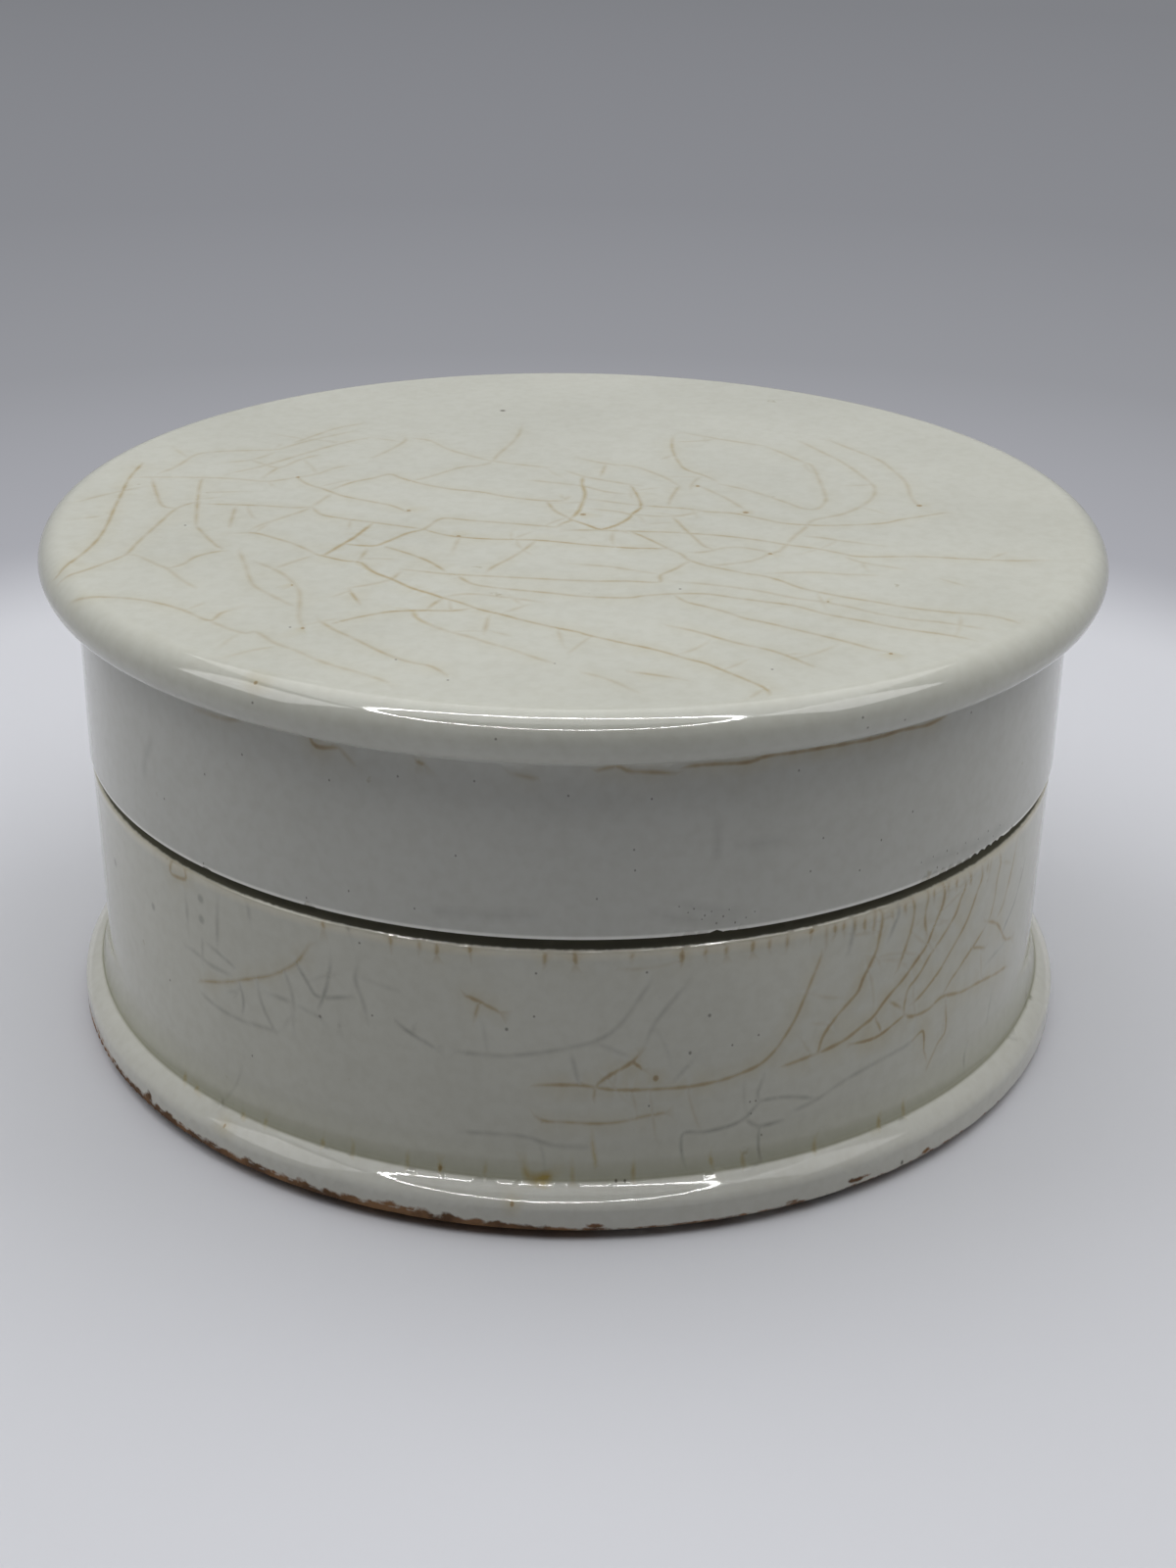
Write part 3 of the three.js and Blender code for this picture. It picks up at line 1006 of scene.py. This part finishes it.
def worn_edge(tree, place, height):
    """Where the foot's edge is worn to its iron-brown body: a thin ragged line, and blotches above it."""
    towards_left_front = vector_reckoned(tree, "DOT_PRODUCT", place, WORN_WAY)["Value"]
    line_top = ranged(tree, towards_left_front, *WORN_TOP_SIDES, *WORN_TOPS)
    line_depth = ranged(tree, towards_left_front, *WORN_DEPTH_SIDES, *WORN_DEPTHS)
    line = reckoned(tree, "MULTIPLY", ranged(tree, height, WORN_LOW, line_top, 1, 0), line_depth)
    amount = reckoned(tree, "MAXIMUM", line, attribute(tree, "iron_stain"))
    rag = noise(tree, place, WORN_RAG_SCALE, WORN_RAG_DETAIL)
    rag = reckoned(tree, "MULTIPLY_ADD", rag, WORN_RAG, -WORN_RAG / 2)
    return ranged(tree, reckoned(tree, "ADD", amount, rag), *WORN_BLEND, 0, 1)


def bare_seam(tree, place, height):
    """Where the pot is left bare for the lid: the shoulder's bevel, the seat and the inner rim."""
    level = vector_reckoned(tree, "MULTIPLY", place, (1, 1, 0))["Vector"]
    radius = vector_reckoned(tree, "LENGTH", level)["Value"]
    rag = noise(tree, place, SEAM_RAG_SCALE, SEAM_RAG_DETAIL)
    ragged_height = reckoned(tree, "MULTIPLY_ADD", rag, SEAM_RAG, height)
    above = ranged(tree, ragged_height, *SEAM_BLEND, 0, 1)
    return reckoned(tree, "MULTIPLY", above, ranged(tree, radius, *RIM_BLEND, 0, 1))


def pot_finish():
    """The pot's glaze: pooled, painted with shade and matt in the crease, worn brown at the foot, and bare
    in the seam with painted shade on its bevel.
    """
    material, tree, shader = new_material("pot_glaze")
    place, height = place_and_height(tree)
    up_wall = reckoned(tree, "DIVIDE", height, SHOULDER_HEIGHT)
    # The wall ramp paints shade, over the darker pooled glaze, into the flare and the crease
    shade = glaze_colour(tree, place, ramp(tree, up_wall, *WALL_STOPS))
    bare = bare_seam(tree, place, height)
    up_seam = reckoned(tree, "MULTIPLY_ADD", height, 1 / SEAM_RISE, -SHOULDER_HEIGHT / SEAM_RISE)
    # Painted shade on the bevel in the seam, then bare body at the seat and on the inner rim
    shade = mixed(tree, bare, shade, ramp(tree, up_seam, *SEAM_BARE_AND_SHADE_STOPS))
    worn = worn_edge(tree, place, height)
    shade = mixed(tree, worn, shade, patterned(tree, place, RUST, IRON_DARK, IRON_RUST))
    tree.links.new(shade, shader.inputs["Base Color"])
    tree.links.new(glaze_relief(tree, place), shader.inputs["Normal"])
    over_crease = ranged(tree, height, *CREASE_START, 0, 1)
    under_flare = ranged(tree, height, *CREASE_END, 1, 0)
    crease = reckoned(tree, "MULTIPLY", over_crease, under_flare)
    matt = reckoned(tree, "MAXIMUM", crease, reckoned(tree, "MAXIMUM", worn, bare))
    polish = reckoned(tree, "MULTIPLY_ADD", matt, MATT_ROUGHNESS, glaze_polish(tree, place))
    tree.links.new(polish, shader.inputs["Roughness"])
    gloss = ranged(tree, height, CREASE_HEIGHT, FLARE_HEIGHT, FOOT_GLOSS, WALL_GLOSS)
    gloss = reckoned(tree, "MULTIPLY", gloss, ranged(tree, matt, 0, 1, 1, MATT_GLOSS))
    tree.links.new(gloss, shader.inputs["Specular IOR Level"])
    return material


def make_camera():
    """The camera of the photograph."""
    bpy.ops.object.camera_add(location=CAMERA_PLACE)
    camera = bpy.context.object
    camera.name = "photo_camera"
    camera.rotation_euler = CAMERA_TURN.to_euler()
    camera.data.lens = LENS
    camera.data.sensor_width = SENSOR
    camera.data.clip_start = CLIP_START
    bpy.context.scene.camera = camera


# Soft lights over the pot and at both sides, as place, aim, size in metres and watts
PANELS = {
    "panel_above": ((0, 0.02, 0.6), (0, 0, -1), 0.8, 2.8),
    "panel_left": ((-0.45, 0.1, 0.42), (0.45, -0.1, -0.42), 0.55, 1.2),
    "panel_right": ((0.45, 0.1, 0.42), (-0.45, -0.1, -0.42), 0.55, 1.15),
}
ROOM_LIGHT = (0.01, 0.01, 0.0105)

# A ring of lamps over the front, which shows only as a gleam on the glaze
RING_CENTRE = Vector((-0.028, -0.2975, 0.435))
RING_HALF_WIDTH, RING_HALF_DEPTH = 0.25, 0.2175
RING_AIM = Vector((0, -0.05, 0.03))
RING_LAMPS = 112
LAMP_SIZE = 0.013
LAMP_WATTS = 0.029

# A soft gleam from each side, on the bead and the foot
GLEAM_PLACES = {
    "gleam_left": (-0.33, -0.13, 0.27),
    "gleam_right": (0.31, -0.14, 0.33),
}
GLEAM_SIZE = 0.2
GLEAM_WATTS = 0.4

# The floor: how it looks, what it throws back, and the studio grey that it fades to with distance
FLOOR_RADIUS = 5
FLOOR_SIDES = 64
FLOOR_GAP = 0.7 * MM
FLOOR_COLOUR = (0.725, 0.735, 0.78)
FLOOR_ROUGHNESS = 0.8
FLOOR_BOUNCE = (0.5, 0.5, 0.52)
FADE_START, FADE_FULL, FADE_END = 0.12, 0.16, 0.85
FAR_GREY = (0.215, 0.22, 0.238)
FADE_COLOURS = (
    (0.17, (0.4, 0.405, 0.44)),
    (0.24, (0.35, 0.355, 0.385)),
    (0.3, (0.3, 0.305, 0.33)),
    (0.48, (0.25, 0.255, 0.277)),
    (1.0, FAR_GREY),
)


def add_panel(name, place, aim, size, watts, gloss=True, shade=True):
    """A square light that the camera doesn't see, and that may light only the gloss or only the rest."""
    bpy.ops.object.light_add(type="AREA", location=place)
    panel = bpy.context.object
    panel.name = name
    panel.rotation_euler = Vector(aim).to_track_quat("-Z", "Y").to_euler()
    panel.data.size = size
    panel.data.energy = watts
    panel.visible_camera = False
    panel.visible_glossy = gloss
    panel.visible_diffuse = shade


def make_lights():
    """The soft panels, the ring of lamps and the dim room."""
    for name, (place, aim, size, watts) in PANELS.items():
        add_panel(name, place, aim, size, watts, gloss=name == "panel_above")
    for name, place in GLEAM_PLACES.items():
        add_panel(name, place, RING_AIM - Vector(place), GLEAM_SIZE, GLEAM_WATTS, shade=False)
    for k in range(RING_LAMPS):
        turn = 2 * math.pi * k / RING_LAMPS
        spoke = Vector((RING_HALF_WIDTH * math.cos(turn), RING_HALF_DEPTH * math.sin(turn), 0))
        place = RING_CENTRE + spoke
        add_panel(f"ring_lamp_{k + 1}", place, RING_AIM - place, LAMP_SIZE, LAMP_WATTS, shade=False)
    world = bpy.data.worlds.new("room")
    world.use_nodes = True
    tree = world.node_tree
    shade = mixed(tree, seen_directly(tree), ROOM_LIGHT, FAR_GREY)
    tree.links.new(shade, tree.nodes["Background"].inputs["Color"])
    bpy.context.scene.world = world


def make_floor():
    """Pale paper that fades to a studio's grey with distance, and throws little light back on the pot."""
    bpy.ops.mesh.primitive_circle_add(vertices=FLOOR_SIDES, radius=FLOOR_RADIUS, fill_type="NGON")
    floor = bpy.context.object
    floor.name = "floor"
    bpy.ops.transform.translate(value=(0, 0, -FLOOR_GAP))
    bpy.ops.object.transform_apply(location=True)
    material, tree, shader = new_material("floor_paper")
    shader.inputs["Roughness"].default_value = FLOOR_ROUGHNESS
    seen = seen_directly(tree)
    tree.links.new(mixed(tree, seen, FLOOR_BOUNCE, FLOOR_COLOUR), shader.inputs["Base Color"])
    place = add_node(tree, "ShaderNodeTexCoord").outputs["Object"]
    distance = vector_reckoned(tree, "LENGTH", place)["Value"]
    far = ramp(tree, reckoned(tree, "DIVIDE", distance, FADE_END), *FADE_COLOURS)
    glow = add_node(tree, "ShaderNodeEmission", {"Color": far}).outputs["Emission"]
    fade = reckoned(tree, "MULTIPLY", seen, ranged(tree, distance, FADE_START, FADE_FULL, 0, 1))
    both = add_node(tree, "ShaderNodeMixShader", {0: fade, 1: shader.outputs["BSDF"], 2: glow})
    tree.links.new(both.outputs["Shader"], tree.nodes["Material Output"].inputs["Surface"])
    floor.data.materials.append(material)


lid = make_lid()
pot = make_pot()
lid.data.materials.append(lid_finish())
pot.data.materials.append(pot_finish())
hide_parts("lid")
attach(lid, "lid")
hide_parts("pot")
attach(pot, "pot")
make_camera()
make_lights()
make_floor()
bpy.context.scene.view_settings.view_transform = "Standard"
